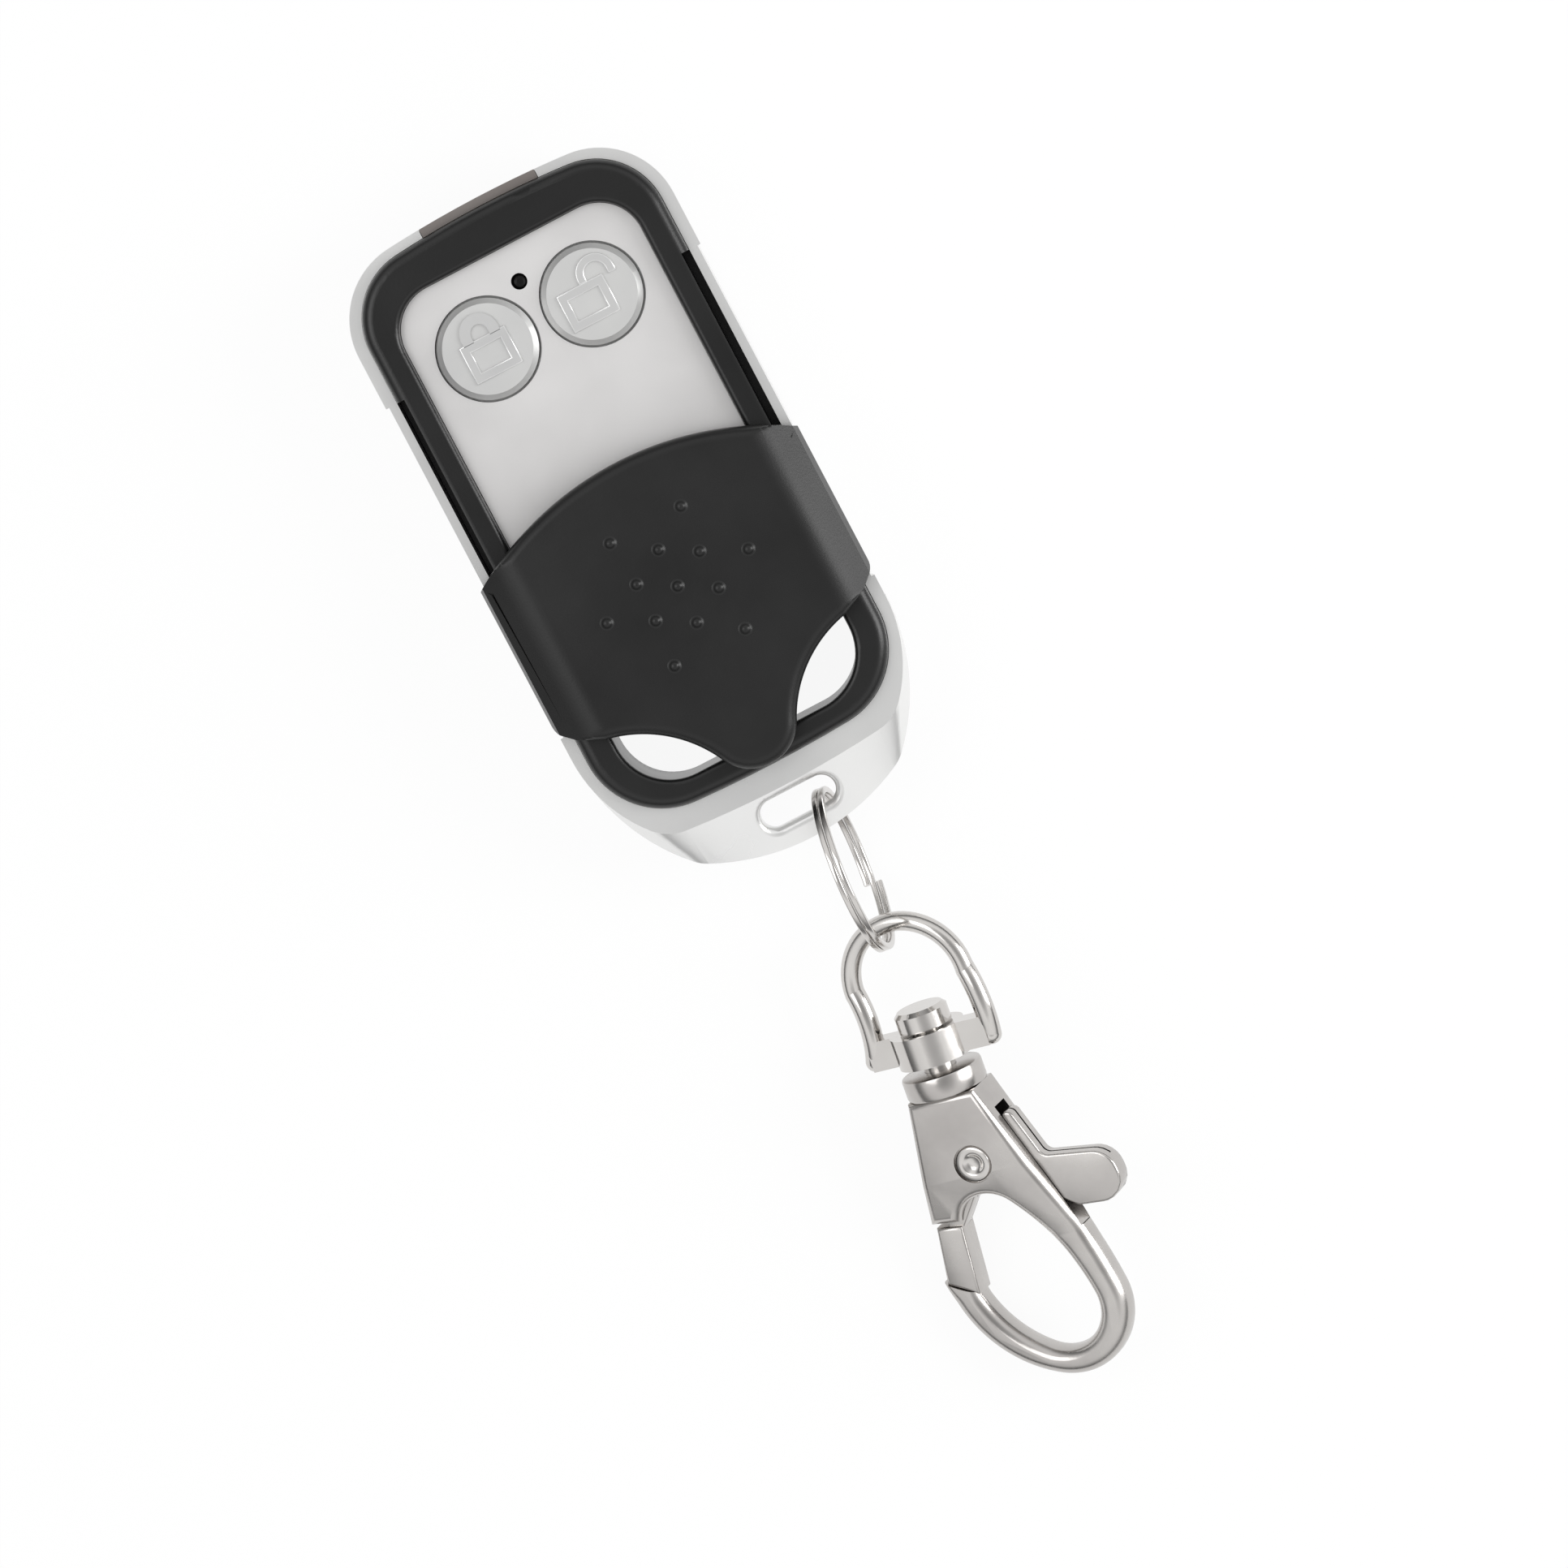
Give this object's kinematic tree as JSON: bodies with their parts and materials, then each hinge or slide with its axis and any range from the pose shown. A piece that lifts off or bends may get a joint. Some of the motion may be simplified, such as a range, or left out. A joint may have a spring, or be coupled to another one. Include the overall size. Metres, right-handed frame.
{
  "type": "alarm key fob",
  "caption": "Two-button radio key fob with a metal frame, black slide cover, split ring and swivel lobster clasp",
  "frame": {"origin": "on the flat back of the fob, on its centre line, 30.3 mm from its wedge-shaped tip", "axes": "+Y along the fob away from the split ring, +X to the unlock button, +Z out of the front"},
  "size_m": [0.0302, 0.1125, 0.0159],
  "materials": {
    "frame_metal": "satin plated zinc",
    "window_plastic": "brown-grey antenna bridge",
    "black_plastic": "fine satin grain",
    "cover_plastic": "soft-touch black",
    "panel_metal": "satin silver",
    "button_plastic": "metallised silver",
    "nickel": "bright nickel plate",
    "screw_steel": "zinc plated",
    "board_green": "coated laminate",
    "chip_black": "moulded package",
    "can_steel": "plain can",
    "cell_steel": "plain steel",
    "contact_brass": "sprung brass",
    "switch_plastic": "moulded body",
    "led_lens": "red lens",
    "spring_steel": "spring wire"
  },
  "bodies": {
    "fob": {"metal_frame": "frame_metal", "antenna_window": "window_plastic", "front_housing": "black_plastic", "rear_cover": "black_plastic", "housing_screws": "screw_steel", "keypad_plate": "panel_metal", "circuit_board": "board_green", "lock_switch": "switch_plastic", "unlock_switch": "switch_plastic", "indicator_led": "led_lens", "encoder_chip": "chip_black", "saw_resonator": "can_steel", "antenna_loop": "contact_brass", "coin_cell": "cell_steel", "cell_clip": "contact_brass", "cell_contact": "contact_brass"},
    "cover": {"slide_cover": "cover_plastic"},
    "lock_key": {"lock_button": "button_plastic"},
    "unlock_key": {"unlock_button": "button_plastic"},
    "ring": {"split_ring": "nickel"},
    "shackle_loop": {"shackle": "nickel"},
    "hook": {"swivel_rivet": "nickel", "hook_body": "nickel", "gate_rivet": "nickel", "gate_spring": "spring_steel"},
    "gate": {"gate_lever": "nickel"}
  },
  "joints": [
    {"name": "cover_slide", "type": "slide", "parent": "fob", "child": "cover", "axis": [0, 1, 0], "range_m": [0, 0.018]},
    {"name": "lock_press", "type": "slide", "parent": "fob", "child": "lock_key", "axis": [0, 0, -1], "range_m": [0, 0.0004], "stiffness_N_per_m": 800},
    {"name": "unlock_press", "type": "slide", "parent": "fob", "child": "unlock_key", "axis": [0, 0, -1], "range_m": [0, 0.0004], "stiffness_N_per_m": 800},
    {"name": "ring_swing", "type": "hinge", "parent": "fob", "child": "ring", "pos_m": [0.0003, -0.0294, 0.00685], "axis": [1, 0, 0], "range_deg": [-12, 38]},
    {"name": "shackle_swing", "type": "hinge", "parent": "ring", "child": "shackle_loop", "pos_m": [0.00227, -0.03968, 0.00764], "axis": [0.8897, -0.1802, 0.4195], "range_deg": [-80, 80]},
    {"name": "clasp_swivel", "type": "hinge", "parent": "shackle_loop", "child": "hook", "pos_m": [0.00091, -0.04911, 0.00647], "axis": [-0.1416, -0.9824, -0.1219], "continuous": true},
    {"name": "gate_pivot", "type": "hinge", "parent": "hook", "child": "gate", "pos_m": [0.0001, -0.06108, 0.00543], "axis": [-0.4341, -0.049, 0.8996], "range_deg": [0, 22], "stiffness_Nm_per_rad": 0.02, "springref_deg": -17.19}
  ]
}
